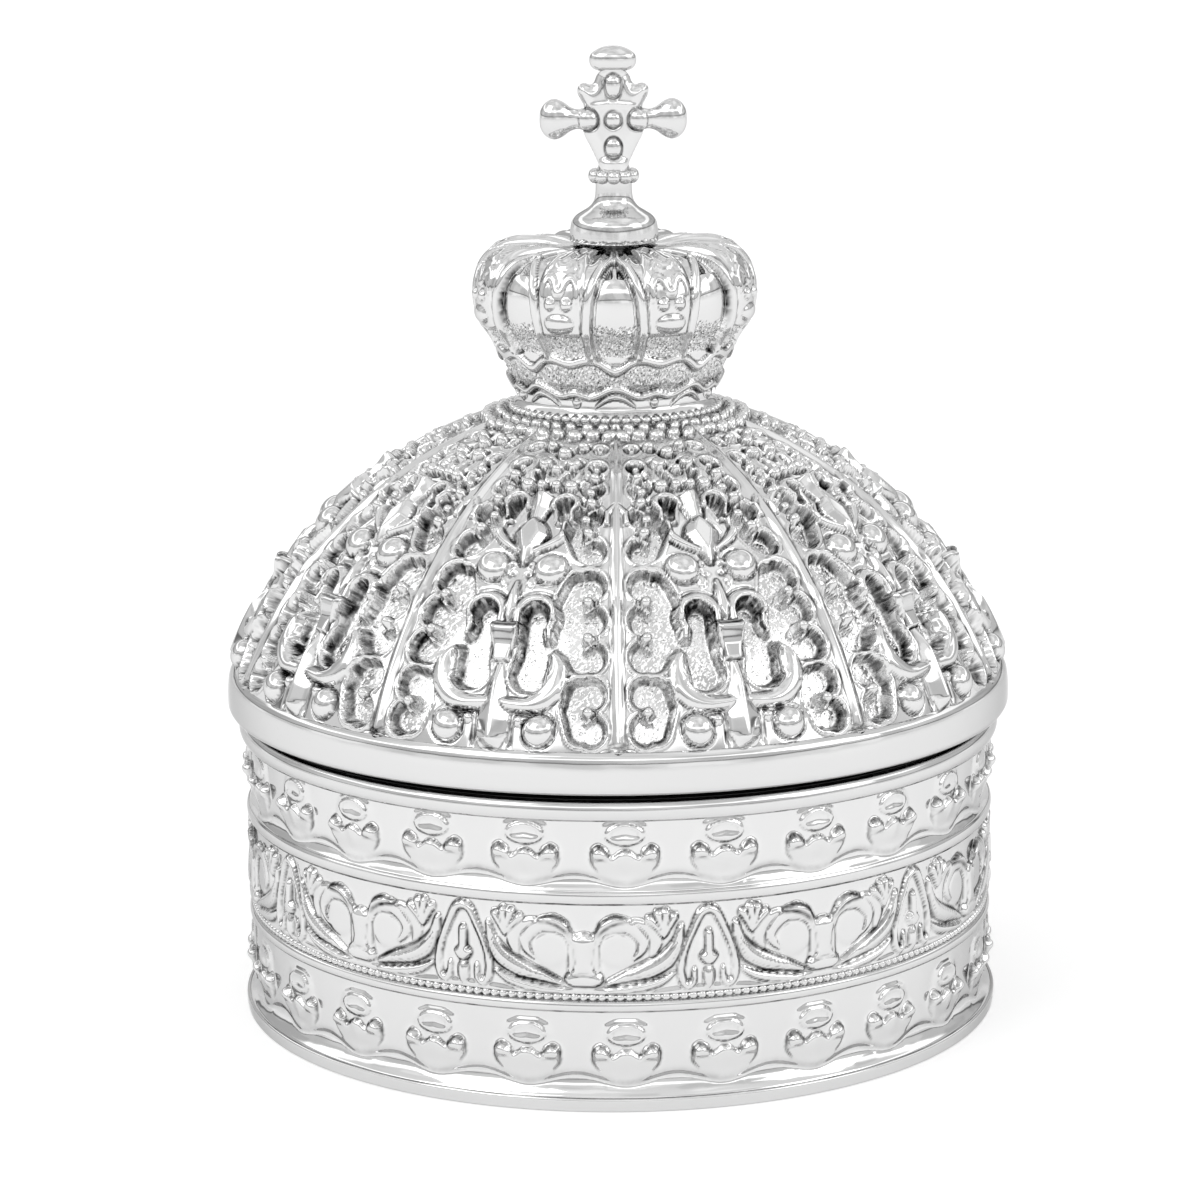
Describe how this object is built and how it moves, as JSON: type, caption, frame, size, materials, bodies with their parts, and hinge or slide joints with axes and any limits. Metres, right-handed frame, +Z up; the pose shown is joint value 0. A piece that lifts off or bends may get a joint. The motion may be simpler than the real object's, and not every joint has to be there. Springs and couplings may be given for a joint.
{
  "type": "wedding coin case",
  "caption": "Round silver-plated case for wedding coins: low ornamented pot with a lift-off domed lid, topped by a small crown and a cross.",
  "frame": {"origin": "centre of the foot ring, on the table, on the axis of the pot", "axes": "+Z up along the axis through the crown to the cross; the broad face of the cross faces -Y, which is the front"},
  "size_m": [0.0772, 0.0772, 0.0944],
  "materials": {
    "silver_plate": "cast metal, silver plated and highly polished, sandy matting in the sunk grounds",
    "felt": "short black felt",
    "velvet": "ivory velvet with a short pile",
    "steel": "bright zinc-plated steel"
  },
  "bodies": {
    "base": {"pot": "silver_plate", "foot_felt": "felt", "wall_lining": "velvet", "floor_lining": "velvet"},
    "lid": {"dome_lid": "silver_plate", "crown": "silver_plate", "cross_finial": "silver_plate", "finial_stud": "steel", "stud_washer": "steel", "stud_nut": "steel"}
  },
  "joints": [
    {"name": "lid_lift", "type": "slide", "parent": "base", "child": "lid", "axis": [0, 0, 1], "range_m": [0, 0.06]}
  ]
}
